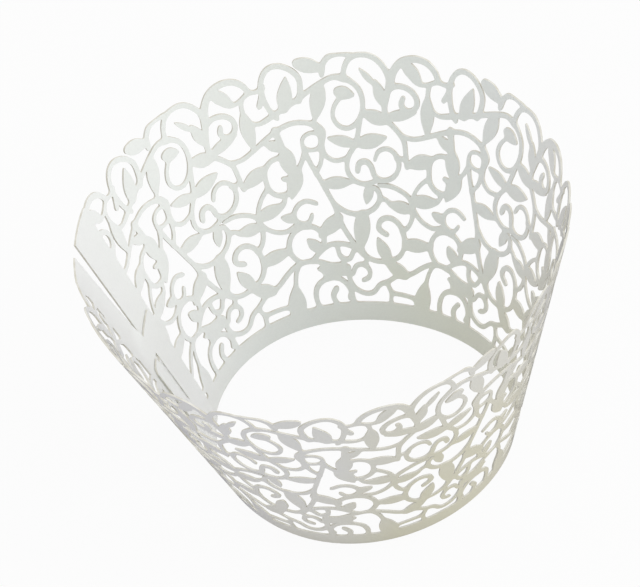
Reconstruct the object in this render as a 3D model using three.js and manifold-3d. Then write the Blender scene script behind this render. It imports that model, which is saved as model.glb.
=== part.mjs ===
// Lace cupcake wrapper: one laser-cut card sheet, rolled into an open cone and closed by a tab in a slit.
// Millimetres, +Z up. The narrow rim stands on z = 0 and the origin is at its centre.
import * as THREE from 'three';
import { mergeVertices } from 'three/addons/utils/BufferGeometryUtils.js';
import Module from 'manifold-3d';

const wasm = await Module();
wasm.setup();

// Size of the rolled wrapper
const rimRadius = 40;
const footRadius = 25;
const slantHeight = 50.3;
const cardThickness = 0.3;
const seamAngle = 169;

// Plain areas of the sheet
const bandHeight = 3.4;
const panelAtFoot = 5.2;
const repeats = 7;

// Closing: slit, flap beyond it, and the tab that goes through
const slitCentre = 16.4;
const slitLength = 12.5;
const slitOpening = 1.4;
const flapWidth = 4.4;
const flapHeight = 27;
const tabLength = 4.6;
const tabNeckLength = 1.7;
const tabNeckWidth = 11;
const tabHeadWidth = 13;
const tabCorner = 1.1;
const sheetClearance = 0.3;
const rampLength = 5;
const foldHeight = 4;
const gapAtFlap = 0.3;
const gapAtRim = 2.3;

// Fineness of the cut outlines
const arcStep = 2.9;
const rowStep = 4.5;
const smallestCorner = 0.64;
const smallestHole = 1.2;

// The pattern below is drawn in millimetres on a fan of this size, x across and y up from the foot
const drawnApex = 83.8;
const drawnHeight = 50.3;
const drawnPitch = 15.4;

// Worked out: the flat sheet is a fan around the cone's apex
const degrees = THREE.MathUtils.radToDeg;
const radians = THREE.MathUtils.degToRad;
const spread = (rimRadius - footRadius) / slantHeight;
const rise = Math.sqrt(1 - spread * spread);
const apexToFoot = footRadius / spread;
const apexToRim = apexToFoot + slantHeight;
const turn = 360 * spread;
const panelAngle = degrees(panelAtFoot / apexToFoot);
const pitch = (turn - 2 * panelAngle) / repeats;
const wallAcross = cardThickness / rise;
const layerStep = (cardThickness + sheetClearance) / rise;
const foldTop = flapHeight + foldHeight;

// Flat plates that are joined and cut: depth, reach into each other, and a merging distance
const plateDepth = 1;
const plateOverlap = 1;
const sameSpot = 1e-5;

// Four corners count as lying on one circle up to this determinant
const onCircle = 1e-9;

// Every leaf's outline: shares of its length from the base, and of half its width to the side
const leafShape = [[0, 0.25], [0, -0.25], [0.28, -0.9], [0.62, -0.9], [1, 0], [0.62, 0.9], [0.28, 0.9]];

// A point of the flat sheet: angle in degrees from the tab's root line, height along the slope
function flat(angle, height) {
  const swing = radians(angle - turn / 2);
  const reach = apexToFoot + height;
  return new THREE.Vector2(reach * Math.sin(swing), reach * Math.cos(swing));
}

// The same, for a point that lies some millimetres past a radial line
function beside(angle, height, across) {
  return flat(angle + degrees(across / (apexToFoot + height)), height);
}

// Angle and height of a point of the flat sheet
function polar(point) {
  const angle = degrees(Math.atan2(point.x, point.y)) + turn / 2;
  return { angle, height: Math.hypot(point.x, point.y) - apexToFoot };
}

// A point of the drawn pattern, placed in one repeat of the sheet
function placed(x, y, copy) {
  const reach = Math.hypot(x, drawnApex + y);
  const swing = degrees(Math.atan2(x, drawnApex + y));
  const height = (reach - drawnApex) / drawnHeight * slantHeight;
  return flat(panelAngle + pitch * (copy + swing / drawnPitch), height);
}

// Outline of an even or tapering strand along a smooth line through the given points
function strand(line, startWidth, endWidth) {
  const curve = new THREE.SplineCurve(line);
  const steps = line.length - 1;
  const left = [];
  const right = [];
  for (let i = 0; i <= steps; i += 1) {
    const along = curve.getPoint(i / steps);
    const tangent = curve.getTangent(i / steps);
    const half = THREE.MathUtils.lerp(startWidth, endWidth, i / steps) / 2;
    const side = new THREE.Vector2(-tangent.y, tangent.x).multiplyScalar(half);
    left.push(along.clone().add(side));
    right.unshift(along.clone().sub(side));
  }
  return [...left, ...right];
}

// Outline of a leaf from base to tip, bulging to both sides
function blade(base, tip, width) {
  const across = tip.clone().sub(base);
  const side = new THREE.Vector2(-across.y, across.x).normalize().multiplyScalar(width / 2);
  const at = ([along, out]) => base.clone().addScaledVector(across, along).addScaledVector(side, out);
  return leafShape.map(at);
}

// The drawn motifs. Stem: widths at both ends, then the points it runs through. Leaf: width, base, tip.
const stem = (startWidth, endWidth, ...points) => ({ kind: 'stem', startWidth, endWidth, points });
const leaf = (width, ...points) => ({ kind: 'leaf', width, points });

const motifs = [
  // Small scallop of the rim and the leaf beside it
  stem(1.2, 1.3, [-15.4, 45.6], [-15.1, 47.8], [-13.9, 49.2], [-12.2, 49.7], [-10.4, 49.6]),
  leaf(3.0, [-20.6, 48.1], [-14.6, 46.7]),
  // Large scallop, with two leaves inside
  stem(1.1, 1.3, [-11.6, 44.8], [-11.3, 47.2], [-10.2, 49.0], [-8.1, 49.7], [-5.9, 49.2], [-4.2, 47.6],
    [-3.3, 45.6], [-3.3, 43.4]),
  leaf(2.3, [-4.4, 40.6], [-5.9, 45.4]),
  // Middle scallop and its leaf
  stem(1.9, 1.2, [-3.2, 44.2], [-2.5, 46.8], [-0.9, 48.9], [1.5, 49.7], [3.8, 49.3], [5.4, 47.9], [6.1, 46.2]),
  leaf(2.6, [-0.7, 49.0], [3.0, 45.1]),
  stem(0.8, 0.9, [0.9, 46.0], [2.4, 45.1], [4.4, 45.5], [6.2, 46.4]),
  stem(0.9, 1.0, [6.4, 46.2], [4.6, 45.6], [4.0, 43.8], [4.0, 41.4]),
  leaf(2.7, [3.9, 43.0], [3.8, 35.4]),
  // Curl between the scallops
  stem(0.9, 1.0, [5.9, 46.3], [7.4, 45.9], [9.0, 46.2]),
  stem(0.9, 0.9, [3.9, 42.4], [4.6, 40.9], [6.2, 40.0], [8.2, 40.2]),
  // Round scallop with a leaf standing in it
  stem(1.1, 1.3, [9.6, 39.8], [8.6, 42.0], [8.3, 44.8], [8.7, 47.2], [10.2, 49.0], [12.2, 49.2], [14.2, 47.9],
    [15.4, 45.8], [15.0, 43.4], [14.2, 41.6]),
  leaf(2.9, [11.0, 40.4], [13.3, 46.9]),
  // Upper stem that runs down from the small scallop
  stem(1.2, 1.1, [-10.6, 45.0], [-13.2, 45.4], [-16.0, 44.0], [-18.6, 42.2], [-20.9, 40.6], [-23.8, 38.9],
    [-26.4, 37.4]),
  leaf(3.0, [-15.7, 44.2], [-17.0, 36.8]),
  // Large curl that ends in a leaf
  stem(1.2, 0.9, [-12.8, 45.3], [-10.6, 44.8], [-8.9, 43.4], [-8.2, 41.4], [-8.3, 39.2], [-9.2, 37.1],
    [-10.8, 35.9], [-12.5, 36.2], [-13.6, 37.8], [-13.4, 39.7], [-12.4, 41.4]),
  leaf(2.7, [-13.4, 42.8], [-9.4, 42.0]),
  // Trunk under the large scallop
  stem(1.3, 1.0, [-3.3, 44.0], [-3.8, 41.8], [-4.2, 39.8], [-3.6, 37.8], [-2.0, 36.2], [-0.7, 34.4],
    [-0.4, 32.2], [-0.2, 29.4]),
  leaf(2.9, [-3.7, 37.5], [-8.8, 39.2]),
  // Spiral beside the trunk, and the leaf that carries it
  stem(1.2, 1.2, [-3.6, 43.6], [-1.6, 44.4], [0.6, 43.9], [1.9, 42.3], [1.6, 40.6], [0.1, 39.9], [-1.1, 40.9],
    [-0.7, 42.3]),
  leaf(2.2, [-4.0, 38.3], [2.0, 39.9]),
  // Lower stem, almost parallel with the upper one
  stem(1.0, 1.1, [-1.0, 35.2], [1.2, 34.9], [4.0, 35.8], [7.0, 37.1], [10.0, 38.0], [12.6, 38.0], [15.2, 36.8],
    [15.9, 34.4], [15.3, 32.0]),
  leaf(2.2, [8.9, 34.0], [5.6, 36.6]),
  stem(1.5, 1.2, [8.4, 38.0], [8.7, 35.4], [8.9, 32.4]),
  leaf(3.1, [8.9, 34.2], [9.0, 28.2]),
  // Upper spiral of the middle row and the leaf at its back
  stem(1.0, 1.2, [8.8, 32.7], [6.2, 32.7], [4.5, 31.3], [4.1, 29.0], [4.5, 26.9], [6.2, 25.7], [8.1, 26.2],
    [8.7, 27.9], [7.2, 28.7]),
  leaf(3.0, [4.8, 31.8], [-0.6, 29.6]),
  stem(0.9, 0.9, [4.2, 28.2], [2.4, 26.6], [1.1, 24.6], [0.8, 22.6]),
  // Ring and leaves under the large curl
  stem(1.1, 0.9, [-17.2, 36.9], [-15.4, 35.2], [-15.7, 32.8], [-15.2, 30.7], [-13.4, 29.7], [-11.6, 30.2]),
  stem(1.1, 1.0, [-8.6, 38.2], [-9.1, 35.4], [-9.7, 32.9], [-11.0, 30.6], [-11.3, 28.0], [-10.0, 26.1],
    [-8.0, 25.6], [-5.4, 26.6]),
  leaf(2.3, [-9.6, 33.0], [-15.0, 34.0]),
  leaf(3.0, [-9.5, 32.9], [-3.6, 34.8]),
  // Double spiral
  stem(1.3, 0.9, [-9.4, 27.9], [-9.1, 29.4], [-7.8, 29.9], [-6.8, 28.8], [-6.3, 27.2], [-4.7, 26.5],
    [-2.7, 27.4], [-1.7, 29.4], [-2.1, 31.4], [-3.7, 32.6], [-5.5, 31.9], [-6.2, 30.2]),
  stem(0.9, 0.9, [-2.3, 30.9], [-0.3, 31.0]),
  // Long slanting stems
  stem(1.0, 1.1, [-19.2, 32.4], [-18.0, 29.4], [-16.6, 26.8], [-15.2, 24.0], [-13.8, 21.2], [-13.1, 18.8],
    [-12.0, 16.5], [-10.6, 14.3], [-8.8, 12.0]),
  leaf(2.6, [-15.8, 25.3], [-10.0, 25.9]),
  stem(1.0, 1.0, [-18.9, 31.6], [-19.6, 29.2], [-21.0, 27.0]),
  leaf(3.0, [-20.2, 28.6], [-21.6, 22.4]),
  // Loop of the middle row with a leaf inside and a leaf below
  stem(1.1, 1.1, [-13.9, 21.6], [-12.4, 20.4], [-10.6, 19.8], [-8.4, 20.0], [-6.4, 21.2], [-5.4, 23.2],
    [-6.0, 24.9], [-7.6, 25.0]),
  leaf(2.0, [-7.2, 25.4], [-8.0, 21.6]),
  leaf(3.2, [-8.6, 20.6], [-9.3, 12.4]),
  // Oval ring with its leaf
  stem(1.2, 1.0, [-4.2, 16.3], [-5.8, 17.3], [-5.3, 19.0], [-3.6, 19.6], [-1.9, 18.6], [-1.0, 16.6], [-1.0, 14.2],
    [-2.2, 12.2], [-4.4, 11.3], [-6.6, 11.1], [-8.4, 12.0], [-9.3, 13.8]),
  leaf(2.5, [-3.9, 11.2], [-6.2, 15.8]),
  leaf(2.8, [-1.4, 14.8], [5.0, 15.4]),
  // Strand that falls between the loop and the oval ring
  stem(1.0, 1.0, [-5.6, 25.6], [-3.4, 25.6], [-1.4, 24.9], [0.2, 23.8], [0.8, 21.8], [0.6, 19.8], [-0.2, 18.2],
    [-1.4, 17.2]),
  leaf(2.6, [0.8, 21.6], [-4.2, 22.2]),
  // Leaf and bowl under the upper spiral
  leaf(2.8, [0.4, 23.2], [6.4, 24.0]),
  stem(0.9, 1.0, [0.9, 22.0], [1.8, 20.5], [3.2, 19.4], [5.0, 18.9], [7.0, 19.6]),
  // Small spiral
  stem(1.0, 0.9, [11.6, 22.3], [9.8, 23.4], [7.9, 22.8], [6.9, 21.1], [7.6, 19.6], [9.2, 19.3], [10.2, 20.6]),
  leaf(2.0, [7.4, 20.6], [4.4, 21.9]),
  stem(1.0, 0.9, [7.6, 19.8], [8.6, 18.4]),
  // Lower spiral with a leaf for its end
  stem(1.1, 1.1, [8.9, 14.0], [10.4, 14.4], [10.9, 16.2], [9.9, 18.1], [7.9, 18.8], [5.8, 18.2], [4.5, 16.4],
    [4.4, 14.2], [5.6, 12.2]),
  leaf(2.3, [9.7, 13.4], [7.8, 16.5]),
  // Leaf between the slanting stem and the next spiral
  leaf(3.0, [-12.5, 19.4], [-17.0, 15.0]),
  // Small hooks under the slanting stems
  stem(1.0, 1.1, [-18.2, 10.4], [-16.6, 12.4], [-14.6, 13.8], [-12.2, 13.9], [-10.4, 13.4]),
  stem(1.0, 1.0, [-13.6, 13.6], [-13.0, 11.4], [-11.4, 11.0], [-10.7, 12.4], [-9.9, 13.6]),
  leaf(2.8, [-11.2, 8.8], [-17.6, 9.0]),
  // Ring and loop over the band
  stem(1.0, 1.0, [-10.8, 8.2], [-10.2, 9.8], [-8.8, 10.2], [-7.7, 9.2], [-7.8, 7.8], [-9.0, 7.1]),
  stem(0.9, 0.9, [-8.4, 9.8], [-8.2, 11.8]),
  stem(1.1, 1.0, [-11.6, 9.6], [-11.4, 7.0], [-10.4, 5.4], [-8.6, 4.6], [-7.0, 5.0], [-5.8, 6.6], [-4.2, 7.4],
    [-2.6, 8.6]),
  stem(1.0, 1.0, [-10.9, 5.6], [-11.6, 3.4]),
  leaf(2.8, [-0.2, 8.6], [-5.0, 11.4]),
  // Arch from the leaf to the next ring
  stem(1.0, 1.1, [-1.2, 8.8], [0.6, 9.6], [2.4, 10.9], [4.4, 12.0], [6.6, 12.2], [8.6, 11.6], [10.6, 10.4],
    [12.4, 10.0]),
  stem(0.9, 0.9, [5.2, 12.2], [4.0, 10.4], [3.3, 8.0]),
  leaf(3.4, [2.0, 1.8], [3.4, 9.0]),
  stem(0.9, 0.9, [-4.4, 7.3], [-3.6, 5.4], [-1.6, 5.2], [0.4, 5.0], [1.6, 4.4]),
  stem(0.9, 0.9, [-3.6, 5.6], [-3.8, 3.0]),
  // Low spiral that stands on the band
  stem(1.1, 1.1, [6.3, 2.4], [6.2, 5.0], [7.1, 7.1], [9.2, 8.0], [11.4, 7.4], [12.6, 5.4], [12.6, 2.6]),
  stem(1.0, 1.3, [9.6, 2.4], [9.2, 4.4], [10.3, 5.8]),
];

// A closed mesh as a solid for joining and cutting, and back
function toSolid(geometry) {
  const bare = new THREE.BufferGeometry();
  bare.setAttribute('position', geometry.getAttribute('position'));
  bare.setIndex(geometry.getIndex());
  const merged = mergeVertices(bare, sameSpot);
  const triVerts = new Uint32Array(merged.getIndex().array);
  const vertProperties = new Float32Array(merged.getAttribute('position').array);
  return new wasm.Manifold(new wasm.Mesh({ numProp: 3, vertProperties, triVerts }));
}

// A flat plate of the given outline
function plate(outline) {
  const shape = new THREE.Shape(outline);
  return toSolid(new THREE.ExtrudeGeometry(shape, { depth: plateDepth, bevelEnabled: false, steps: 1 }));
}

// Points along a ring of the sheet from one angle to another
function arc(fromAngle, toAngle, height) {
  const length = Math.abs(radians(toAngle - fromAngle)) * (apexToFoot + height);
  const count = Math.max(1, Math.round(length / arcStep));
  const points = [];
  for (let i = 0; i <= count; i += 1) {
    points.push(flat(THREE.MathUtils.lerp(fromAngle, toAngle, i / count), height));
  }
  return points;
}

// Outline of a piece of the fan between two angles and two heights
function fanPiece(fromAngle, toAngle, low, high) {
  return [...arc(fromAngle, toAngle, low), ...arc(toAngle, fromAngle, high)];
}

// One repeat of the pattern, every motif joined to the rest
function makeRepeat(copy) {
  const plates = motifs.map((motif) => {
    const line = motif.points.map(([x, y]) => placed(x, y, copy));
    const isLeaf = motif.kind === 'leaf';
    return plate(isLeaf ? blade(...line, motif.width) : strand(line, motif.startWidth, motif.endWidth));
  });
  return plates.reduce((joined, next) => joined.add(next));
}

// The lace with the plain band at its foot, trimmed to the space between the end panels
function makeLace() {
  const overlap = panelAngle / 2;
  let lace = plate(fanPiece(overlap, turn - overlap, 0, bandHeight));
  for (let copy = 0; copy <= repeats; copy += 1) {
    lace = lace.add(makeRepeat(copy));
  }
  return lace.intersect(plate(fanPiece(overlap, turn - overlap, 0, slantHeight)));
}

// End panel with the tab, whose root line is the sheet's end
function makeTabPanel() {
  const panel = plate(fanPiece(0, panelAngle, 0, slantHeight));
  const neck = tabNeckWidth / 2;
  const head = tabHeadWidth / 2;
  const at = (across, up) => beside(0, slitCentre + up, across);
  const tab = plate([
    at(plateOverlap, -neck), at(0, -neck), at(-slitOpening, -neck),
    at(-tabNeckLength, -neck), at(-tabNeckLength, -head),
    at(-tabLength + tabCorner, -head), at(-tabLength, -head + tabCorner), at(-tabLength, head - tabCorner),
    at(-tabLength + tabCorner, head), at(-tabNeckLength, head), at(-tabNeckLength, neck),
    at(-slitOpening, neck), at(0, neck), at(plateOverlap, neck),
  ]);
  return panel.add(tab);
}

// End panel with the slit, and the flap that lies behind the other end
function makeSlitPanel() {
  const lowGap = degrees(gapAtFlap / (apexToFoot + flapHeight));
  const rimGap = degrees(gapAtRim / apexToRim);
  const flapAngle = degrees(flapWidth / apexToFoot);
  const outline = [
    ...arc(turn - panelAngle, turn, 0),
    ...arc(turn, turn + flapAngle, 0),
    flat(turn + flapAngle, flapHeight / 2),
    flat(turn + flapAngle, flapHeight),
    flat(turn, flapHeight),
    flat(turn - lowGap, flapHeight),
    flat(turn - THREE.MathUtils.lerp(lowGap, rimGap, foldHeight / (slantHeight - flapHeight)), foldTop),
    ...arc(turn - rimGap, turn - panelAngle, slantHeight),
  ];
  const half = slitLength / 2;
  const at = (across, up) => beside(turn, slitCentre + up, across);
  const slit = plate([at(-slitOpening, -half), at(0, -half), at(0, half), at(-slitOpening, half)]);
  return plate(outline).subtract(slit);
}

// Outlines of the sheet's upper face, as closed loops of points
function outlines(solid) {
  const mesh = solid.getMesh();
  const corner = (index) => mesh.vertProperties.slice(index * mesh.numProp, index * mesh.numProp + 3);
  const isTop = (index) => corner(index)[2] > plateDepth / 2;
  const next = new Map();
  for (let t = 0; t < mesh.triVerts.length; t += 3) {
    const face = Array.from(mesh.triVerts.slice(t, t + 3));
    if (face.every(isTop)) {
      for (let i = 0; i < 3; i += 1) {
        next.set(`${face[i]},${face[(i + 1) % 3]}`, [face[i], face[(i + 1) % 3]]);
      }
    }
  }
  const follow = new Map();
  for (const [from, to] of next.values()) {
    if (!next.has(`${to},${from}`)) {
      follow.set(from, to);
    }
  }
  const loops = [];
  while (follow.size > 0) {
    const loop = [];
    let index = follow.keys().next().value;
    while (follow.has(index)) {
      const [x, y] = corner(index);
      loop.push(new THREE.Vector2(x, y));
      const following = follow.get(index);
      follow.delete(index);
      index = following;
    }
    loops.push(loop);
  }
  return loops;
}

// True where a point belongs to the lace and not to the foot or an end panel
function inLace(point) {
  const { angle, height } = polar(point);
  const foot = bandHeight / 2;
  return height > foot && angle > panelAngle && angle < turn - panelAngle;
}

// Drops, one by one, the lace points whose corner cuts off next to nothing
function thinned(loop) {
  const points = [...loop];
  const corner = (point, i) => {
    if (!inLace(point)) {
      return Infinity;
    }
    const before = points.at(i - 1).clone().sub(point);
    const after = points[(i + 1) % points.length].clone().sub(point);
    return Math.abs(before.cross(after)) / 2;
  };
  while (points.length > 3) {
    const corners = points.map(corner);
    const least = Math.min(...corners);
    if (least > smallestCorner) {
      break;
    }
    points.splice(corners.indexOf(least), 1);
  }
  return points;
}

// Points inside the end panels, in rows where the card bends
function panelRows() {
  const rows = [];
  const row = (angleAt, low, high) => {
    const count = Math.round((high - low) / rowStep);
    for (let i = 1; i < count; i += 1) {
      const height = THREE.MathUtils.lerp(low, high, i / count);
      rows.push(flat(angleAt(height), height));
    }
  };
  const shortOf = (across) => (height) => turn - degrees(across / (apexToFoot + height));
  const neckLow = slitCentre - tabNeckWidth / 2;
  const neckHigh = slitCentre + tabNeckWidth / 2;
  row(() => panelAngle / 2, 0, slantHeight);
  row(() => 0, neckLow, neckHigh);
  row((height) => -degrees(slitOpening / (apexToFoot + height)), neckLow, neckHigh);
  row(shortOf(rampLength), 0, foldTop);
  row(shortOf(rampLength / 2), foldTop, slantHeight);
  row(() => turn, 0, slitCentre - slitLength / 2);
  row(() => turn, slitCentre + slitLength / 2, flapHeight);
  for (const share of [1 / 3, 2 / 3]) {
    rows.push(flat(shortOf(rampLength * share)(flapHeight), flapHeight));
    rows.push(flat(shortOf(rampLength * share)(foldTop), foldTop));
  }
  return rows;
}

// A flat triangulation, kept as the third corner of the triangle on each directed edge
class Net {
  constructor(points, faces) {
    this.points = points;
    this.third = new Map();
    faces.forEach((face) => this.setFace(...face));
    this.settle([...this.third.keys()]);
  }

  setFace(a, b, c) {
    this.third.set(`${a},${b}`, c);
    this.third.set(`${b},${c}`, a);
    this.third.set(`${c},${a}`, b);
  }

  // True where a point lies to the left of all three edges of a triangle
  holds(face, point) {
    return face.every((corner, i) => {
      const from = this.points[corner];
      const along = this.points[face[(i + 1) % face.length]].clone().sub(from);
      return along.cross(point.clone().sub(from)) > 0;
    });
  }

  // True where the fourth corner lies in the circle of the other three
  tooClose(a, b, c, d) {
    const rows = [a, b, c].map((index) => {
      const off = this.points[index].clone().sub(this.points[d]);
      return [off.x, off.y, off.lengthSq()];
    });
    return new THREE.Matrix3().set(...rows.flat()).determinant() > onCircle;
  }

  // Swaps diagonals until every triangle is as even as it can be
  settle(edges) {
    while (edges.length > 0) {
      const [a, b] = edges.pop().split(',').map(Number);
      const c = this.third.get(`${a},${b}`);
      const d = this.third.get(`${b},${a}`);
      if (c !== undefined && d !== undefined && this.tooClose(a, b, c, d)) {
        this.third.delete(`${a},${b}`);
        this.third.delete(`${b},${a}`);
        this.setFace(a, d, c);
        this.setFace(d, b, c);
        edges.push(`${a},${d}`, `${d},${b}`, `${b},${c}`, `${c},${a}`);
      }
    }
  }

  // Adds a point of the card inside the triangle that holds it
  add(point) {
    const face = this.faces().find((corners) => this.holds(corners, point));
    if (face !== undefined) {
      const [a, b, c] = face;
      const p = this.points.push(point) - 1;
      this.setFace(a, b, p);
      this.setFace(b, c, p);
      this.setFace(c, a, p);
      this.settle([`${a},${b}`, `${b},${c}`, `${c},${a}`]);
    }
  }

  faces() {
    const faces = [];
    for (const [edge, c] of this.third) {
      const [a, b] = edge.split(',').map(Number);
      if (a < b && a < c) {
        faces.push([a, b, c]);
      }
    }
    return faces;
  }

  // Directed edges with the card on their left and nothing on their right
  rim() {
    const edges = [...this.third.keys()].map((edge) => edge.split(',').map(Number));
    return edges.filter(([a, b]) => !this.third.has(`${b},${a}`));
  }
}

// How far the card lies inside the cone's surface: nothing, but for the tab and the flap's end
function inset(angle, height) {
  const reach = apexToFoot + height;
  const past = -radians(angle) * reach;
  if (past > 0) {
    const depth = layerStep * (2 - slitOpening / rampLength);
    return depth * Math.min(1, past / slitOpening);
  }
  const shortOf = radians(turn - angle) * reach;
  const ramp = THREE.MathUtils.clamp(1 - shortOf / rampLength, 0, 1);
  const fold = THREE.MathUtils.clamp((foldTop - height) / foldHeight, 0, 1);
  return layerStep * ramp * fold;
}

// A point of the flat sheet on one face of the rolled card
function rolled(point, side) {
  const { angle, height } = polar(point);
  const around = radians(seamAngle - 360 * angle / turn);
  const radius = footRadius + height * spread - inset(angle, height) + side * wallAcross / 2;
  return [radius * Math.cos(around), radius * Math.sin(around), height * rise];
}

// The rolled card as one closed mesh: inner face, outer face and the cut edges between them
function rollUp(net) {
  const inner = net.points.map((point) => rolled(point, -1));
  const outer = net.points.map((point) => rolled(point, 1));
  const shift = net.points.length;
  const index = [];
  for (const [a, b, c] of net.faces()) {
    index.push(a, b, c);
    index.push(a + shift, c + shift, b + shift);
  }
  for (const [a, b] of net.rim()) {
    index.push(b, a, a + shift);
    index.push(b, a + shift, b + shift);
  }
  const geometry = new THREE.BufferGeometry();
  geometry.setAttribute('position', new THREE.Float32BufferAttribute([...inner, ...outer].flat(), 3));
  geometry.setIndex(index);
  geometry.computeVertexNormals();
  return geometry;
}

const sheet = makeLace().add(makeTabPanel()).add(makeSlitPanel());
const loops = outlines(sheet).map(thinned);
const size = (loop) => THREE.ShapeUtils.area(loop);
const contour = loops.find((loop) => size(loop) > 0);
const holes = loops.filter((loop) => size(loop) < -smallestHole);
const faces = THREE.ShapeUtils.triangulateShape(contour, holes);
const net = new Net([contour, ...holes].flat(), faces);
panelRows().forEach((point) => net.add(point));

const card = new THREE.MeshStandardMaterial({ color: 0xdfe2dd, roughness: 0.45, metalness: 0 });
const wrapper = new THREE.Mesh(rollUp(net), card);
wrapper.name = 'lace_wrapper';

const cupcakeWrapper = new THREE.Group();
cupcakeWrapper.add(wrapper);

export default cupcakeWrapper;
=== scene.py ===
import math

import bpy
import numpy as np
from mathutils import Matrix, Vector, geometry, kdtree


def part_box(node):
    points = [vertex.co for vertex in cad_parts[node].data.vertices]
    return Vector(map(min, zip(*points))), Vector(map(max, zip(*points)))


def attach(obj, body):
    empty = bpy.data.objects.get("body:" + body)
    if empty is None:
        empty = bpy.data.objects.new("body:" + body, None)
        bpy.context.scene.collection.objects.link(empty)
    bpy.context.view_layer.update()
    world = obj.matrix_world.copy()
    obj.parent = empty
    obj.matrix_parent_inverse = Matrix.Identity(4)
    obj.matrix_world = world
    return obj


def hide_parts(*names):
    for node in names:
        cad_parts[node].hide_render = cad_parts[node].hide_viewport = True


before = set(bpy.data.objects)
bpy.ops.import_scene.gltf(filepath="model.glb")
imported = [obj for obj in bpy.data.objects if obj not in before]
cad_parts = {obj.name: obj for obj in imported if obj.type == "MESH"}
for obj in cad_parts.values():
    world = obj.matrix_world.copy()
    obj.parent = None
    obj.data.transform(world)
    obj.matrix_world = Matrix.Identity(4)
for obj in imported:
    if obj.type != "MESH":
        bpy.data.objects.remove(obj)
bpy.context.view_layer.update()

# Lace cupcake wrapper: one cut sheet of pearl card, rolled into an open cone and closed by a tab in a slit.
# The sheet is drawn flat in millimetres, and becomes metres when it is rolled.
mm = 0.001
cadLow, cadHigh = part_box("lace_wrapper")

sheet = {
    "rimRadius": 40.0,
    "footRadius": 25.0,
    "slantHeight": 50.3,
    "thickness": 0.3,
    "seamAngle": 169.0,    # where the two ends of the sheet meet, anticlockwise from +X
    "repeats": 7,
    "bandHeight": 3.4,     # plain band along the foot
    "panelAtFoot": 5.2,    # plain strip at each end of the sheet
    # The closing: one end's flap lies inside the other end, whose tab goes in through its slit
    "slitCentre": 16.4,
    "slitLength": 12.5,
    "slitOpening": 0.8,
    "flapWidth": 4.4,
    "flapHeight": 27.0,
    "foldHeight": 4.0,
    "tabLength": 4.6,
    "tabNeckLength": 1.7,
    "tabNeckWidth": 11.0,
    "tabHeadWidth": 13.0,
    "tabCorner": 1.1,
    "tabRoot": 1.0,        # how far the tab's outline reaches into its panel
    "clearance": 0.06,     # between two layers of card
    "rampLength": 5.0,     # how far from the seam the flap's end starts to bend in
    "gapAtFlap": 0.3,
    "gapAtRim": 2.7,
    # The pattern is drawn on a fan of this size, x across and y up from the foot
    "drawnApex": 83.8,
    "drawnHeight": 50.3,
    "drawnPitch": 15.4,
    "stemShare": 0.76,     # the cut takes a little off each drawn stem and leaf
    "leafShare": 0.90,
    "leafBase": 0.1,       # 0 is a pointed base
    "leafBelly": 0.92,     # under 1 brings the widest place nearer to the base
    # How finely the sheet is cut and bent
    "stemSamples": 5,
    "capSamples": 5,
    "leafSamples": 14,
    "cornerSamples": 6,
    "outlineStep": 0.28,
    "fewestPoints": 6,     # on one outline
    "roundingPasses": 3,
    "smallestHole": 0.55,  # square millimetres
    "netStep": 1.1,
    "netClear": 0.4,       # share of a step that the net keeps from an outline
    "samePoint": 1e-5,
    "sharpAngle": 38.0,
    # Card never stays a perfect cone: slow waves around it, in millimetres at the rim and at the foot
    "waves": [
        {"count": 2, "rim": 0.33, "foot": -0.80, "start": 90.0},
        {"count": 3, "rim": 0.30, "foot": 0.15, "start": 90.0},
        {"count": 3, "rim": 0.05, "foot": 0.40, "start": 0.0},
        {"count": 7, "rim": 0.07, "foot": 0.0, "start": 20.0},
        {"count": 11, "rim": 0.05, "foot": 0.0, "start": 200.0},
    ],
}

spread = (sheet["rimRadius"] - sheet["footRadius"]) / sheet["slantHeight"]
rise = math.sqrt(1 - spread ** 2)
apexToFoot = sheet["footRadius"] / spread
apexToRim = apexToFoot + sheet["slantHeight"]
turn = 360 * spread
panelAngle = math.degrees(sheet["panelAtFoot"] / apexToFoot)
pitch = (turn - 2 * panelAngle) / sheet["repeats"]
wallAcross = sheet["thickness"] / rise
layerStep = (sheet["thickness"] + sheet["clearance"]) / rise
foldTop = sheet["flapHeight"] + sheet["foldHeight"]
frameHeight = (cadHigh - cadLow).z / mm
print("cone height", round(sheet["slantHeight"] * rise, 2), "mm, frame", round(frameHeight, 2), "mm")


def flat(angle, height):  # degrees from the tab's root line, millimetres up the slope
    swing = np.radians(np.asarray(angle, float) - turn / 2)
    reach = apexToFoot + np.asarray(height, float)
    return np.stack([reach * np.sin(swing), reach * np.cos(swing)], -1)


def polar(points):
    angle = np.degrees(np.arctan2(points[:, 0], points[:, 1])) + turn / 2
    return angle, np.hypot(points[:, 0], points[:, 1]) - apexToFoot


def beside(angle, height, across):  # some millimetres past a radial line
    return flat(angle + math.degrees(across / (apexToFoot + height)), height)


def placed(points, copy):  # drawn points, set into one repeat of the sheet
    x, y = np.asarray(points, float).T
    reach = np.hypot(x, sheet["drawnApex"] + y)
    swing = np.degrees(np.arctan2(x, sheet["drawnApex"] + y))
    height = (reach - sheet["drawnApex"]) / sheet["drawnHeight"] * sheet["slantHeight"]
    return flat(panelAngle + pitch * (copy + swing / sheet["drawnPitch"]), height)


def stem(startWidth, endWidth, *points):
    return {"kind": "stem", "widths": (startWidth, endWidth), "points": points}


def leaf(width, *points):
    return {"kind": "leaf", "width": width, "points": points}


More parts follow.
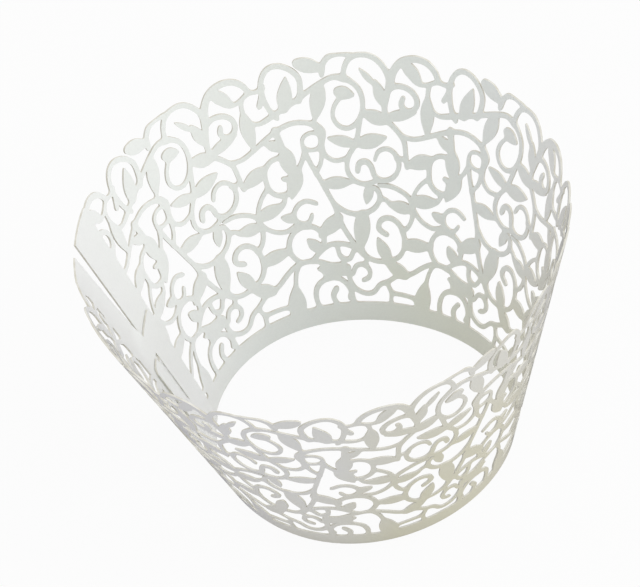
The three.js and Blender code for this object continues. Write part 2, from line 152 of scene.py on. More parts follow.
motifs = [
    # Small scallop of the rim and the leaf beside it
    stem(1.2, 1.3, (-15.4, 45.6), (-15.1, 47.8), (-13.9, 49.2), (-12.2, 49.7), (-10.4, 49.6)),
    leaf(3.0, (-20.6, 48.1), (-14.6, 46.7)),
    # Large scallop, with two leaves inside
    stem(1.1, 1.3, (-11.6, 44.8), (-11.3, 47.2), (-10.2, 49.0), (-8.1, 49.7), (-5.9, 49.2),
         (-4.2, 47.6), (-3.3, 45.6), (-3.3, 43.4)),
    leaf(1.2, (-5.9, 44.2), (-8.9, 47.3)),
    leaf(2.3, (-4.4, 40.6), (-5.9, 45.4)),
    # Middle scallop and its leaf
    stem(1.9, 1.2, (-3.2, 44.2), (-2.5, 46.8), (-0.9, 48.9), (1.5, 49.7), (3.8, 49.3), (5.4, 47.9),
         (6.1, 46.2)),
    leaf(2.6, (-0.7, 49.0), (3.0, 45.1)),
    stem(0.8, 0.9, (0.9, 46.0), (2.4, 45.1), (4.4, 45.5), (6.2, 46.4)),
    stem(0.9, 1.0, (6.4, 46.2), (4.6, 45.6), (4.0, 43.8), (4.0, 41.4)),
    leaf(2.7, (3.9, 43.0), (3.8, 35.4)),
    # Curl between the scallops
    stem(0.9, 1.0, (5.9, 46.3), (7.4, 45.9), (9.0, 46.2)),
    stem(1.0, 1.3, (8.6, 46.4), (8.0, 44.6), (7.1, 43.0)),
    stem(0.9, 0.9, (3.9, 42.4), (4.6, 40.9), (6.2, 40.0), (8.2, 40.2)),
    # Round scallop with a leaf standing in it
    stem(1.1, 1.3, (9.6, 39.8), (8.6, 42.0), (8.3, 44.8), (8.7, 47.2), (10.2, 49.0), (12.2, 49.2),
         (14.2, 47.9), (15.4, 45.8), (15.0, 43.4), (14.2, 41.6)),
    leaf(2.9, (11.0, 40.4), (13.3, 46.9)),
    # Upper stem that runs down from the small scallop
    stem(1.2, 1.1, (-10.6, 45.0), (-13.2, 45.4), (-16.0, 44.0), (-18.6, 42.2), (-20.9, 40.6),
         (-23.8, 38.9), (-26.4, 37.4)),
    leaf(3.0, (-15.7, 44.2), (-17.0, 36.8)),
    # Large curl that ends in a leaf
    stem(1.2, 0.9, (-12.8, 45.3), (-10.6, 44.8), (-8.9, 43.4), (-8.2, 41.4), (-8.3, 39.2), (-9.2, 37.1),
         (-10.8, 35.9), (-12.5, 36.2), (-13.6, 37.8), (-13.4, 39.7), (-12.4, 41.4)),
    leaf(2.7, (-13.4, 42.8), (-9.4, 42.0)),
    # Trunk under the large scallop
    stem(1.3, 1.0, (-3.3, 44.0), (-3.8, 41.8), (-4.2, 39.8), (-3.6, 37.8), (-2.0, 36.2), (-0.7, 34.4),
         (-0.4, 32.2), (-0.2, 29.4)),
    leaf(2.9, (-3.7, 37.5), (-8.8, 39.2)),
    # Spiral beside the trunk, and the leaf that carries it
    stem(1.2, 1.2, (-3.6, 43.6), (-1.6, 44.4), (0.6, 43.9), (1.9, 42.3), (1.6, 40.6), (0.1, 39.9),
         (-1.1, 40.9), (-0.7, 42.3)),
    leaf(2.2, (-4.0, 38.3), (2.0, 39.9)),
    # Lower stem, almost parallel with the upper one
    stem(1.0, 1.1, (-1.0, 35.2), (1.2, 34.9), (4.0, 35.8), (7.0, 37.1), (10.0, 38.0), (12.6, 38.0),
         (15.2, 36.8), (15.9, 34.4), (15.3, 32.0)),
    leaf(2.2, (8.9, 34.0), (5.6, 36.6)),
    stem(1.5, 1.2, (8.4, 38.0), (8.7, 35.4), (8.9, 32.4)),
    leaf(3.1, (8.9, 34.2), (9.0, 28.2)),
    # Upper spiral of the middle row and the leaf at its back
    stem(1.0, 1.2, (8.8, 32.7), (6.2, 32.7), (4.5, 31.3), (4.1, 29.0), (4.5, 26.9), (6.2, 25.7),
         (8.1, 26.2), (8.7, 27.9), (7.2, 28.7)),
    leaf(3.0, (4.8, 31.8), (-0.6, 29.6)),
    stem(0.9, 0.9, (4.2, 28.2), (2.4, 26.6), (1.1, 24.6), (0.8, 22.6)),
    # Ring and leaves under the large curl
    stem(1.1, 0.9, (-17.2, 36.9), (-15.4, 35.2), (-15.7, 32.8), (-15.2, 30.7), (-13.4, 29.7),
         (-11.6, 30.2)),
    stem(1.1, 1.0, (-8.6, 38.2), (-9.1, 35.4), (-9.7, 32.9), (-11.0, 30.6), (-11.3, 28.0),
         (-10.0, 26.1), (-8.0, 25.6), (-5.4, 26.6)),
    leaf(2.3, (-9.6, 33.0), (-15.0, 34.0)),
    leaf(3.0, (-9.5, 32.9), (-3.6, 34.8)),
    stem(0.8, 0.8, (-15.8, 34.6), (-17.6, 35.0), (-19.2, 34.0), (-19.0, 32.2), (-17.4, 31.7),
         (-15.7, 32.4)),
    # Double spiral
    stem(1.3, 0.9, (-9.4, 27.9), (-9.1, 29.4), (-7.8, 29.9), (-6.8, 28.8), (-6.3, 27.2), (-4.7, 26.5),
         (-2.7, 27.4), (-1.7, 29.4), (-2.1, 31.4), (-3.7, 32.6), (-5.5, 31.9), (-6.2, 30.2)),
    stem(0.9, 0.9, (-2.3, 30.9), (-0.3, 31.0)),
    # Long slanting stems
    stem(1.0, 1.1, (-19.2, 32.4), (-18.0, 29.4), (-16.6, 26.8), (-15.2, 24.0), (-13.8, 21.2),
         (-13.1, 18.8), (-12.0, 16.5), (-10.6, 14.3), (-8.8, 12.0)),
    stem(0.9, 0.9, (-15.9, 31.8), (-16.0, 29.4), (-17.1, 27.2)),
    leaf(2.6, (-15.8, 25.3), (-10.0, 25.9)),
    stem(1.0, 1.0, (-18.9, 31.6), (-19.6, 29.2), (-21.0, 27.0)),
    leaf(3.0, (-20.2, 28.6), (-21.6, 22.4)),
    # Loop of the middle row with a leaf inside and a leaf below
    stem(1.1, 1.1, (-13.9, 21.6), (-12.4, 20.4), (-10.6, 19.8), (-8.4, 20.0), (-6.4, 21.2),
         (-5.4, 23.2), (-6.0, 24.9), (-7.6, 25.0)),
    leaf(2.0, (-7.2, 25.4), (-8.0, 21.6)),
    leaf(3.2, (-8.6, 20.6), (-9.3, 12.4)),
    # Oval ring with its leaf
    stem(1.2, 1.0, (-4.2, 16.3), (-5.8, 17.3), (-5.3, 19.0), (-3.6, 19.6), (-1.9, 18.6), (-1.0, 16.6),
         (-1.0, 14.2), (-2.2, 12.2), (-4.4, 11.3), (-6.6, 11.1), (-8.4, 12.0), (-9.3, 13.8)),
    leaf(2.5, (-3.9, 11.2), (-6.2, 15.8)),
    leaf(2.8, (-1.4, 14.8), (5.0, 15.4)),
    # Strand that falls between the loop and the oval ring
    stem(1.0, 1.0, (-5.6, 25.6), (-3.4, 25.6), (-1.4, 24.9), (0.2, 23.8), (0.8, 21.8), (0.6, 19.8),
         (-0.2, 18.2), (-1.4, 17.2)),
    leaf(2.6, (0.8, 21.6), (-4.2, 22.2)),
    stem(0.9, 0.9, (-3.4, 22.2), (-4.4, 23.0), (-5.6, 23.0)),
    # Leaf and bowl under the upper spiral
    leaf(2.8, (0.4, 23.2), (6.4, 24.0)),
    stem(0.9, 1.0, (0.9, 22.0), (1.8, 20.5), (3.2, 19.4), (5.0, 18.9), (7.0, 19.6)),
    stem(0.9, 0.9, (6.2, 26.0), (6.4, 24.8), (5.4, 24.0)),
    # Small spiral
    stem(1.0, 0.9, (11.6, 22.3), (9.8, 23.4), (7.9, 22.8), (6.9, 21.1), (7.6, 19.6), (9.2, 19.3),
         (10.2, 20.6)),
    leaf(2.0, (7.4, 20.6), (4.4, 21.9)),
    stem(1.0, 0.9, (7.6, 19.8), (8.6, 18.4)),
    # Lower spiral with a leaf for its end
    stem(1.1, 1.1, (8.9, 14.0), (10.4, 14.4), (10.9, 16.2), (9.9, 18.1), (7.9, 18.8), (5.8, 18.2),
         (4.5, 16.4), (4.4, 14.2), (5.6, 12.2)),
    leaf(2.3, (9.7, 13.4), (7.8, 16.5)),
    # Leaf between the slanting stem and the next spiral
    leaf(3.0, (-12.5, 19.4), (-17.0, 15.0)),
    # Small hooks under the slanting stems
    stem(1.0, 1.1, (-18.2, 10.4), (-16.6, 12.4), (-14.6, 13.8), (-12.2, 13.9), (-10.4, 13.4)),
    stem(1.0, 1.0, (-13.6, 13.6), (-13.0, 11.4), (-11.4, 11.0), (-10.7, 12.4), (-9.9, 13.6)),
    stem(0.9, 0.9, (-12.6, 11.4), (-12.2, 9.2)),
    leaf(2.8, (-11.2, 8.8), (-17.6, 9.0)),
    # Ring and loop over the band
    stem(1.0, 1.0, (-10.8, 8.2), (-10.2, 9.8), (-8.8, 10.2), (-7.7, 9.2), (-7.8, 7.8), (-9.0, 7.1)),
    stem(0.9, 0.9, (-8.4, 9.8), (-8.2, 11.8)),
    stem(1.1, 1.0, (-11.6, 9.6), (-11.4, 7.0), (-10.4, 5.4), (-8.6, 4.6), (-7.0, 5.0), (-5.8, 6.6),
         (-4.2, 7.4), (-2.6, 8.6)),
    stem(1.0, 1.0, (-10.9, 5.6), (-11.6, 3.4)),
    leaf(2.8, (-0.2, 8.6), (-5.0, 11.4)),
    # Arch from the leaf to the next ring
    stem(1.0, 1.1, (-1.2, 8.8), (0.6, 9.6), (2.4, 10.9), (4.4, 12.0), (6.6, 12.2), (8.6, 11.6),
         (10.6, 10.4), (12.4, 10.0)),
    stem(0.9, 0.9, (5.2, 12.2), (4.0, 10.4), (3.3, 8.0)),
    leaf(3.4, (2.0, 1.8), (3.4, 9.0)),
    stem(0.9, 0.9, (-4.4, 7.3), (-3.6, 5.4), (-1.6, 5.2), (0.4, 5.0), (1.6, 4.4)),
    stem(0.9, 0.9, (-3.6, 5.6), (-3.8, 3.0)),
    # Low spiral that stands on the band
    stem(1.1, 1.1, (6.3, 2.4), (6.2, 5.0), (7.1, 7.1), (9.2, 8.0), (11.4, 7.4), (12.6, 5.4),
         (12.6, 2.6)),
    stem(1.0, 1.3, (9.6, 2.4), (9.2, 4.4), (10.3, 5.8)),
    stem(1.0, 1.0, (9.2, 7.8), (9.0, 9.6), (9.2, 11.4)),
]


def smoothLine(points):  # a rounded line through the points, with its direction at each sample
    ends = np.vstack([points[:1], points, points[-1:]])
    line, along = [], []
    for i in range(len(points) - 1):
        before, here, there, after = ends[i:i + 4]
        leave, arrive = (there - before) / 2, (after - here) / 2
        for t in np.arange(sheet["stemSamples"]) / sheet["stemSamples"]:
            cubic = 2 * here - 2 * there + leave + arrive
            square = 3 * (there - here) - 2 * leave - arrive
            line.append(cubic * t ** 3 + square * t ** 2 + leave * t + here)
            along.append(3 * cubic * t ** 2 + 2 * square * t + leave)
    line.append(points[-1])
    along.append((points[-1] - points[-2]) / 2)
    along = np.array(along)
    return np.array(line), along / np.linalg.norm(along, axis=1, keepdims=True)


def stemPieces(points, widths):  # one outline between each two drawn points, and a round cap at each end
    line, along = smoothLine(points)
    half = np.linspace(*widths, len(line))[:, None] / 2 * sheet["stemShare"]
    side = np.stack([-along[:, 1], along[:, 0]], -1) * half
    left, right = line + side, line - side
    step = sheet["stemSamples"]
    pieces = []
    for i in range(0, len(line) - 1, step):
        pieces.append(np.vstack([right[i:i + step + 1], left[i:i + step + 1][::-1]]))
    turns = np.radians(np.linspace(-90, 90, sheet["capSamples"] + 2))
    for centre, ahead, across in ((line[-1], along[-1], side[-1]), (line[0], -along[0], -side[0])):
        reach = np.linalg.norm(across)
        pieces.append(np.array([centre + ahead * math.cos(t) * reach + across * math.sin(t) for t in turns]))
    return pieces


def leafPieces(points, width):  # blunt at the base, pointed at the tip
    base, tip = points
    along = tip - base
    side = np.array([-along[1], along[0]]) / np.linalg.norm(along) * width / 2 * sheet["leafShare"]
    shares = np.linspace(0, 1, sheet["leafSamples"])[:, None]
    blunt = sheet["leafBase"]
    bulge = np.sin(math.pi * (blunt + (1 - blunt) * shares ** sheet["leafBelly"]))
    right = base + along * shares - side * bulge
    left = base + along * shares + side * bulge
    return [np.vstack([right, left[::-1][1:]])]


def arc(fromAngle, toAngle, height):
    length = abs(math.radians(toAngle - fromAngle)) * (apexToFoot + height)
    count = max(1, round(length / sheet["netStep"]))
    return flat(np.linspace(fromAngle, toAngle, count + 1), height)


def fanPiece(fromAngle, toAngle, low, high):
    return np.vstack([arc(fromAngle, toAngle, low), arc(toAngle, fromAngle, high)])


def tabOutline():
    neck, head = sheet["tabNeckWidth"] / 2, sheet["tabHeadWidth"] / 2
    corner, root = sheet["tabCorner"], sheet["tabRoot"]
    shape = [(root, -neck), (-sheet["tabNeckLength"], -neck), (-sheet["tabNeckLength"], -head)]
    turns = np.radians(np.linspace(0, 90, sheet["cornerSamples"]))
    end = -sheet["tabLength"] + corner
    shape += [(end - corner * math.sin(t), -head + corner - corner * math.cos(t)) for t in turns]
    shape += [(end - corner * math.cos(t), head - corner + corner * math.sin(t)) for t in turns]
    shape += [(-sheet["tabNeckLength"], head), (-sheet["tabNeckLength"], neck), (root, neck)]
    return np.array([beside(0, sheet["slitCentre"] + up, across) for across, up in shape])


def slitPanelOutline():
    lowGap = math.degrees(sheet["gapAtFlap"] / (apexToFoot + sheet["flapHeight"]))
    rimGap = math.degrees(sheet["gapAtRim"] / apexToRim)
    flapAngle = math.degrees(sheet["flapWidth"] / apexToFoot)
    upToRim = sheet["foldHeight"] / (sheet["slantHeight"] - sheet["flapHeight"])
    return np.vstack([
        arc(turn - panelAngle, turn + flapAngle, 0),
        flat(turn + flapAngle, sheet["flapHeight"]),
        flat(turn - lowGap, sheet["flapHeight"]),
        flat(turn - lowGap - (rimGap - lowGap) * upToRim, foldTop),
        arc(turn - rimGap, turn - panelAngle, sheet["slantHeight"]),
    ])


def slitOutline():
    half = sheet["slitLength"] / 2
    corners = [(-sheet["slitOpening"], -half), (0, -half), (0, half), (-sheet["slitOpening"], half)]
    return np.array([beside(turn, sheet["slitCentre"] + up, across) for across, up in corners])


def divided(outlines, loosePoints=()):  # triangles under overlapping outlines, and what covers each
    points, faces = [], []
    for outline in outlines:
        faces.append(list(range(len(points), len(points) + len(outline))))
        anticlockwise = outline if loopArea(outline) > 0 else outline[::-1]
        points.extend(Vector(point) for point in anticlockwise)
    points.extend(Vector(point) for point in loosePoints)
    corners, _, triangles, _, _, covers = geometry.delaunay_2d_cdt(points, [], faces, 1, sheet["samePoint"])
    return np.array([tuple(c) for c in corners]), triangles, covers


def boundaries(triangles):  # closed loops of corner numbers around an area, the area on their left
    third = {}
    for a, b, c in triangles:
        third[a, b], third[b, c], third[c, a] = c, a, b
    waiting = {edge for edge in third if edge[::-1] not in third}
    loops = []
    while waiting:
        edge = min(waiting)
        loop = []
        while edge in waiting:
            waiting.discard(edge)
            loop.append(edge[0])
            following = (edge[1], third[edge])
            while following[::-1] in third:
                following = (edge[1], third[following[::-1]])
            edge = following
        loops.append(loop)
    return loops


def loopArea(loop):
    after = np.roll(loop, -1, axis=0)
    return float(np.sum(loop[:, 0] * after[:, 1] - loop[:, 1] * after[:, 0])) / 2


def isPlain(points):  # on the foot band or an end panel, whose corners stay sharp
    angle, height = polar(points)
    return (height < sheet["bandHeight"] / 2) | (angle < panelAngle) | (angle > turn - panelAngle)


def rounded(loop):  # evenly spaced points, with the corners of the lace softened as the laser leaves them
    after = np.roll(loop, -1, axis=0)
    starts = np.concatenate([[0], np.cumsum(np.linalg.norm(after - loop, axis=1))])
    count = max(sheet["fewestPoints"], round(starts[-1] / sheet["outlineStep"]))
    even = np.arange(count) / count * starts[-1]
    kept = starts[:-1][isPlain(loop)]
    if len(kept):
        gap = np.abs(even[:, None] - kept[None, :]).min(1)
        even = even[gap > sheet["outlineStep"] / 2]
    spots = np.concatenate([even, kept])
    order = np.argsort(spots, kind="stable")
    spots, fixed = spots[order], order >= len(even)
    closed = np.vstack([loop, loop[:1]])
    points = np.stack([np.interp(spots, starts, closed[:, k]) for k in (0, 1)], -1)
    fixed |= isPlain(points)
    for _ in range(sheet["roundingPasses"]):
        softer = (np.roll(points, 1, axis=0) + 2 * points + np.roll(points, -1, axis=0)) / 4
        points = np.where(fixed[:, None], points, softer)
    return points


def cutSheet():  # outlines of the finished flat sheet: the contour first, then every hole
    overlap = panelAngle / 2
    lace = [fanPiece(overlap, turn - overlap, 0, sheet["bandHeight"])]
    for copy in range(sheet["repeats"] + 1):
        for motif in motifs:
            points = placed(motif["points"], copy)
            isLeaf = motif["kind"] == "leaf"
            lace += leafPieces(points, motif["width"]) if isLeaf else stemPieces(points, motif["widths"])
    trim = fanPiece(overlap, turn - overlap, 0, sheet["slantHeight"])
    panels = [fanPiece(0, panelAngle, 0, sheet["slantHeight"]), tabOutline(), slitPanelOutline()]
    outlines = lace + [trim] + panels + [slitOutline()]
    trimNumber, slitNumber = len(lace), len(outlines) - 1
    corners, triangles, covers = divided(outlines)
    kept = []
    for triangle, cover in zip(triangles, covers):
        inLace = trimNumber in cover and min(cover) < trimNumber
        inPanel = any(trimNumber < number < slitNumber for number in cover)
        if (inLace or inPanel) and slitNumber not in cover:
            kept.append(tuple(triangle))
    loops = [corners[loop] for loop in boundaries(kept)]
    contour = max(loops, key=loopArea)
    holes = [loop for loop in loops if loopArea(loop) < -sheet["smallestHole"]]
    islands = [loop for loop in loops if loopArea(loop) > 0 and loop is not contour]
    print("sheet cut:", len(outlines), "outlines,", len(holes), "holes,", len(islands), "islands dropped")
    return [rounded(loop) for loop in [contour] + holes]


def netPoints(outlines):  # points spread over the card where no outline is near
    near = kdtree.KDTree(sum(len(outline) for outline in outlines))
    for i, point in enumerate(np.vstack(outlines)):
        near.insert((*point, 0), i)
    near.balance()
    rows = []
    step = sheet["netStep"]
    for row, height in enumerate(np.arange(step, sheet["slantHeight"], step * math.sqrt(3) / 2)):
        across = math.degrees(step / (apexToFoot + height))
        margin = math.degrees(sheet["tabLength"] / apexToFoot)
        angles = np.arange(-margin + (row % 2) * across / 2, turn + margin, across)
        rows.append(flat(angles, height))
    return [point for point in np.vstack(rows) if near.find((*point, 0))[2] > step * sheet["netClear"]]


def eased(share):
    share = np.clip(share, 0, 1)
    return share * share * (3 - 2 * share)


def inset(angle, height):  # how far the card lies inside the cone: only the tab and the flap's end do
    reach = apexToFoot + height
    past = -np.radians(angle) * reach
    under = layerStep * eased(1 - past / sheet["rampLength"])  # the other end of the sheet, behind the tab
    tab = (layerStep + under) * eased(past / sheet["slitOpening"])
    shortOf = np.radians(turn - angle) * reach
    ramp = eased(1 - shortOf / sheet["rampLength"])
    fold = eased((foldTop - height) / sheet["foldHeight"])
    return np.where(past > 0, tab, layerStep * ramp * fold)


def rolled(points, side):
    angle, height = polar(points)
    around = np.radians(sheet["seamAngle"] - 360 * angle / turn)
    radius = sheet["footRadius"] + height * spread - inset(angle, height) + side * wallAcross / 2
    share = np.clip(height / sheet["slantHeight"], 0, 1)
    for wave in sheet["waves"]:
        swell = np.cos(wave["count"] * around - math.radians(wave["start"]))
        radius = radius + swell * (wave["foot"] + (wave["rim"] - wave["foot"]) * share)
    return np.stack([radius * np.cos(around), radius * np.sin(around), height * rise], -1) * mm


def rollUp(name):
    outlines = cutSheet()
    corners, triangles, covers = divided(outlines, netPoints(outlines))
    # Card is where the contour covers and no hole does
    triangles = [tuple(t) for t, cover in zip(triangles, covers) if list(cover) == [0]]
    used = sorted({corner for triangle in triangles for corner in triangle})
    renumbered = {corner: i for i, corner in enumerate(used)}
    triangles = [tuple(renumbered[corner] for corner in triangle) for triangle in triangles]
    corners = corners[used]
    shift = len(corners)
    faces = list(triangles)
    faces += [(a + shift, c + shift, b + shift) for a, b, c in triangles]
    directed = {edge for a, b, c in triangles for edge in ((a, b), (b, c), (c, a))}
    rim = sorted(edge for edge in directed if edge[::-1] not in directed)
    faces += [(b, a, a + shift, b + shift) for a, b in rim]
    mesh = bpy.data.meshes.new(name)
    mesh.from_pydata(np.vstack([rolled(corners, -1), rolled(corners, 1)]).tolist(), [], faces)
    mesh.validate()
    mesh.polygons.foreach_set("use_smooth", [True] * len(mesh.polygons))
    mesh.set_sharp_from_angle(angle=math.radians(sheet["sharpAngle"]))
    isCut = [0] * (2 * len(triangles)) + [1] * len(rim)
    mesh.polygons.foreach_set("material_index", isCut)
    print("rolled:", len(mesh.vertices), "points,", len(mesh.polygons), "faces,", len(rim), "cut edges")
    piece = bpy.data.objects.new(name, mesh)
    bpy.context.scene.collection.objects.link(piece)
    return piece


wrapper = rollUp("laceWrapper")
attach(wrapper, "root")
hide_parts("lace_wrapper")

# Pearl card: near white, turning from cool to warm in random clouds, and painted warmer and darker towards
# the lower front right as painted shade with a painted pearl reflection tint; with fine fibres and a satin
# sheen
cardLook = {
    "coolWhite": (0.754, 0.755, 0.738),
    "plainWhite": (0.745, 0.740, 0.698),
    # The warm white is partly painted shade: the position gradient on the next line reaches it mostly on the
    # lower front right
    "warmWhiteAndShade": (0.665, 0.640, 0.475),
    "paintedShadeSide": (9.0, -8.0, -9.0),  # direction in which the card is painted warmer and darker, per metre: painted shade with a painted pearl reflection tint
    "tintSpots": (0.02, 0.20, 0.55),  # where each of the three whites is pure
    "tintSize": 26.0,    # millimetres
    "tintDetail": 1.5,
    "tintShare": 0.6,    # how much the clouds shift the tint
    "fibreSize": 0.35,
    "fibreDetail": 5,
    "fibreGrit": 0.7,
    "fibreSpots": (0.3, 0.7),
    "fibreDepth": 0.012,
    "fibreShade": 0.025,
    "roughness": 0.48,
    "pearlCoat": 0.16,
    "coatRoughness": 0.3,
    "pearlFilm": 420.0,  # nanometres
    "filmIndex": 1.6,
}


def newMaterial(name):
    material = bpy.data.materials.new(name)
    material.use_nodes = True
    nodes, links = material.node_tree.nodes, material.node_tree.links
    shader = nodes["Principled BSDF"]
    return material, nodes, links, shader


def addNoise(nodes, links, size, detail, roughness=0.5):
    place = nodes.new("ShaderNodeTexCoord")
    noise = nodes.new("ShaderNodeTexNoise")
    noise.inputs["Scale"].default_value = 1 / (size * mm)
    noise.inputs["Detail"].default_value = detail
    noise.inputs["Roughness"].default_value = roughness
    links.new(place.outputs["Object"], noise.inputs["Vector"])
    return noise.outputs["Fac"]


def ramp(nodes, links, source, spots, colours):
    node = nodes.new("ShaderNodeValToRGB")
    while len(node.color_ramp.elements) < len(spots):
        node.color_ramp.elements.new(0.5)
    for element, spot, colour in zip(node.color_ramp.elements, spots, colours):
        element.position = spot
        element.color = (*colour, 1)
    links.new(source, node.inputs["Fac"])
    return node.outputs["Color"]


def bump(nodes, links, source, depth, shader):
    node = nodes.new("ShaderNodeBump")
    node.inputs["Strength"].default_value = 1.0
    node.inputs["Distance"].default_value = depth * mm
    links.new(source, node.inputs["Height"])
    links.new(node.outputs["Normal"], shader.inputs["Normal"])


def pearlCard():
    material, nodes, links, shader = newMaterial("pearlCard")
    cloud = addNoise(nodes, links, cardLook["tintSize"], cardLook["tintDetail"])
    place = nodes.new("ShaderNodeTexCoord")
    # Painted shade: by object position the card turns warmer and darker towards the lower front right, on
    # top of the random clouds
    shadeSlope = nodes.new("ShaderNodeVectorMath")
    shadeSlope.operation = "DOT_PRODUCT"
    shadeSlope.inputs[1].default_value = cardLook["paintedShadeSide"]
    links.new(place.outputs["Object"], shadeSlope.inputs[0])
    tintAndShade = nodes.new("ShaderNodeMath")
    tintAndShade.operation = "MULTIPLY_ADD"
    tintAndShade.inputs[1].default_value = cardLook["tintShare"]
    links.new(cloud, tintAndShade.inputs[0])
    links.new(shadeSlope.outputs["Value"], tintAndShade.inputs[2])
    whites = (cardLook["coolWhite"], cardLook["plainWhite"], cardLook["warmWhiteAndShade"])
    colour = ramp(nodes, links, tintAndShade.outputs[0], cardLook["tintSpots"], whites)
    fibres = addNoise(nodes, links, cardLook["fibreSize"], cardLook["fibreDetail"], cardLook["fibreGrit"])
    light, dark = 1 + cardLook["fibreShade"], 1 - cardLook["fibreShade"]
    shade = ramp(nodes, links, fibres, cardLook["fibreSpots"], ((dark,) * 3, (light,) * 3))
    mix = nodes.new("ShaderNodeMix")
    mix.data_type = "RGBA"
    mix.blend_type = "MULTIPLY"
    mix.inputs["Factor"].default_value = 1.0
    links.new(colour, mix.inputs["A"])
    links.new(shade, mix.inputs["B"])
    links.new(mix.outputs["Result"], shader.inputs["Base Color"])
    bump(nodes, links, fibres, cardLook["fibreDepth"], shader)
    shader.inputs["Roughness"].default_value = cardLook["roughness"]
    shader.inputs["Coat Weight"].default_value = cardLook["pearlCoat"]
    shader.inputs["Coat Roughness"].default_value = cardLook["coatRoughness"]
    shader.inputs["Thin Film Thickness"].default_value = cardLook["pearlFilm"]
    shader.inputs["Thin Film IOR"].default_value = cardLook["filmIndex"]
    return material


# Cut edges: the card's creamy core, a little browned by the laser
edgeLook = {
    "core": (0.66, 0.65, 0.60),
    "browned": (0.56, 0.54, 0.47),
    "spotSize": 1.6,
    "spotDetail": 3,
    "spotEdges": (0.35, 0.65),
    "roughness": 0.75,
}


def cutEdge():
    material, nodes, links, shader = newMaterial("cutEdge")
    spots = addNoise(nodes, links, edgeLook["spotSize"], edgeLook["spotDetail"])
    colour = ramp(nodes, links, spots, edgeLook["spotEdges"], (edgeLook["browned"], edgeLook["core"]))
    links.new(colour, shader.inputs["Base Color"])
    shader.inputs["Roughness"].default_value = edgeLook["roughness"]
    return material


wrapper.data.materials.append(pearlCard())
wrapper.data.materials.append(cutEdge())
print("materials done")

# Studio: white floor and world, soft lamps
studio = {
    "floorSize": 3.0,
    "floorWhite": 0.55,
    "floorShade": 0.06,   # how much of the object's shadow the floor keeps
    "worldStrength": 0.96,
    "keyPower": 4.5,
    "keySize": 0.7,
    "keyFrom": (0.79, -0.15, 0.60),
    "fillPower": 0.2,
    "fillSize": 1.2,
    "fillFrom": (-0.6, -0.7, 0.9),
    "lampsAim": (0.0, 0.0, 0.02),
}


def whiteToCamera(nodes, links, shaded, output, share):  # white where the camera or a reflection looks at it
    path = nodes.new("ShaderNodeLightPath")
    seen = nodes.new("ShaderNodeMath")
    seen.operation = "MAXIMUM"
    links.new(path.outputs["Is Camera Ray"], seen.inputs[0])
    links.new(path.outputs["Is Glossy Ray"], seen.inputs[1])
    through = nodes.new("ShaderNodeMath")
    through.operation = "MAXIMUM"
    links.new(seen.outputs[0], through.inputs[0])
    links.new(path.outputs["Is Transmission Ray"], through.inputs[1])
    scaled = nodes.new("ShaderNodeMath")
    scaled.operation = "MULTIPLY"
    scaled.inputs[1].default_value = share
    links.new(through.outputs[0], scaled.inputs[0])
    white = nodes.new("ShaderNodeEmission" if output.type == "OUTPUT_MATERIAL" else "ShaderNodeBackground")
    white.inputs["Color"].default_value = (1, 1, 1, 1)
    white.inputs["Strength"].default_value = 1.0
    mix = nodes.new("ShaderNodeMixShader")
    links.new(scaled.outputs[0], mix.inputs["Fac"])
    links.new(shaded.outputs[0], mix.inputs[1])
    links.new(white.outputs[0], mix.inputs[2])
    links.new(mix.outputs[0], output.inputs["Surface"])


def makeFloor():
    mesh = bpy.data.meshes.new("floor")
    reach = studio["floorSize"] / 2
    corners = [(-reach, -reach, 0), (reach, -reach, 0), (reach, reach, 0), (-reach, reach, 0)]
    mesh.from_pydata(corners, [], [(0, 1, 2, 3)])
    floor = bpy.data.objects.new("floor", mesh)
    bpy.context.scene.collection.objects.link(floor)
    material = bpy.data.materials.new("floorWhite")
    material.use_nodes = True
    nodes, links = material.node_tree.nodes, material.node_tree.links
    nodes.remove(nodes["Principled BSDF"])
    matt = nodes.new("ShaderNodeBsdfDiffuse")
    matt.inputs["Color"].default_value = (*[studio["floorWhite"]] * 3, 1)
    whiteToCamera(nodes, links, matt, nodes["Material Output"], 1 - studio["floorShade"])
    mesh.materials.append(material)


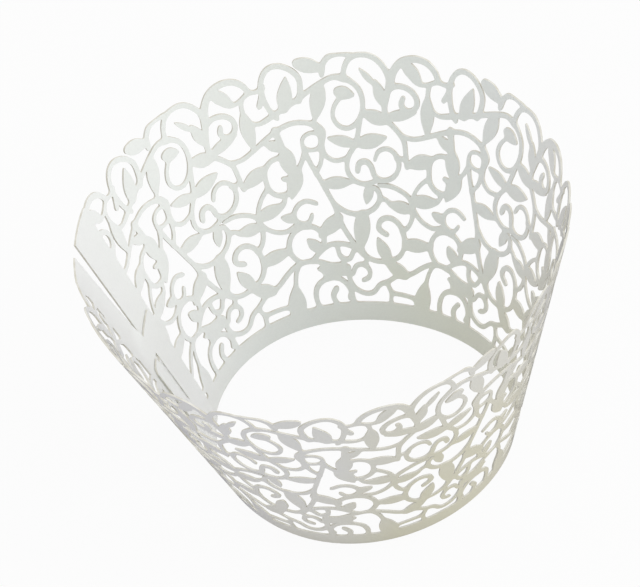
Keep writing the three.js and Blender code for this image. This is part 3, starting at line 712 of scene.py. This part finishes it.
def makeWorld():
    world = bpy.data.worlds.new("studioWorld")
    world.use_nodes = True
    nodes, links = world.node_tree.nodes, world.node_tree.links
    room = nodes["Background"]
    room.inputs["Color"].default_value = (1, 1, 1, 1)
    room.inputs["Strength"].default_value = studio["worldStrength"]
    whiteToCamera(nodes, links, room, nodes["World Output"], 1.0)
    bpy.context.scene.world = world


def addLamp(name, power, size, place):
    light = bpy.data.lights.new(name, "AREA")
    light.energy = power
    light.size = size
    lamp = bpy.data.objects.new(name, light)
    lamp.location = place
    aim = Vector(studio["lampsAim"]) - Vector(place)
    lamp.rotation_euler = aim.to_track_quat("-Z", "Y").to_euler()
    bpy.context.scene.collection.objects.link(lamp)


makeFloor()
makeWorld()
addLamp("keyLamp", studio["keyPower"], studio["keySize"], studio["keyFrom"])
addLamp("fillLamp", studio["fillPower"], studio["fillSize"], studio["fillFrom"])
print("studio done")

# Camera: from the front and above, tilted a little
shot = {
    "elevation": 46.3,
    "roll": -11.8,
    "distance": 0.8,
    "pixelsPerMm": 6.15,    # at the middle of the wrapper
    "pictureWidth": 640,
    "sensorWidth": 36.0,
    "nearestSeen": 0.01,
    "rightOfCentre": 3.65,  # millimetres
    "belowCentre": 5.95,
}


def makeCamera():
    lift, roll = math.radians(shot["elevation"]), math.radians(shot["roll"])
    back = Vector((0, -math.cos(lift), math.sin(lift)))
    right, up = Vector((1, 0, 0)), Vector((0, math.sin(lift), math.cos(lift)))
    across = right * math.cos(roll) + up * math.sin(roll)
    upright = up * math.cos(roll) - right * math.sin(roll)
    middle = Vector((0, 0, (cadHigh.z - cadLow.z) / 2))
    target = middle - across * shot["rightOfCentre"] * mm + upright * shot["belowCentre"] * mm
    camera = bpy.data.cameras.new("camera")
    camera.sensor_width = shot["sensorWidth"]
    camera.lens = camera.sensor_width * shot["pixelsPerMm"] * shot["distance"] / mm / shot["pictureWidth"]
    camera.clip_start = shot["nearestSeen"]
    holder = bpy.data.objects.new("camera", camera)
    turned = Matrix((across, upright, back)).transposed().to_4x4()
    holder.matrix_world = Matrix.Translation(target + back * shot["distance"]) @ turned
    bpy.context.scene.collection.objects.link(holder)
    bpy.context.scene.camera = holder


makeCamera()
bpy.context.scene.view_settings.view_transform = "Standard"
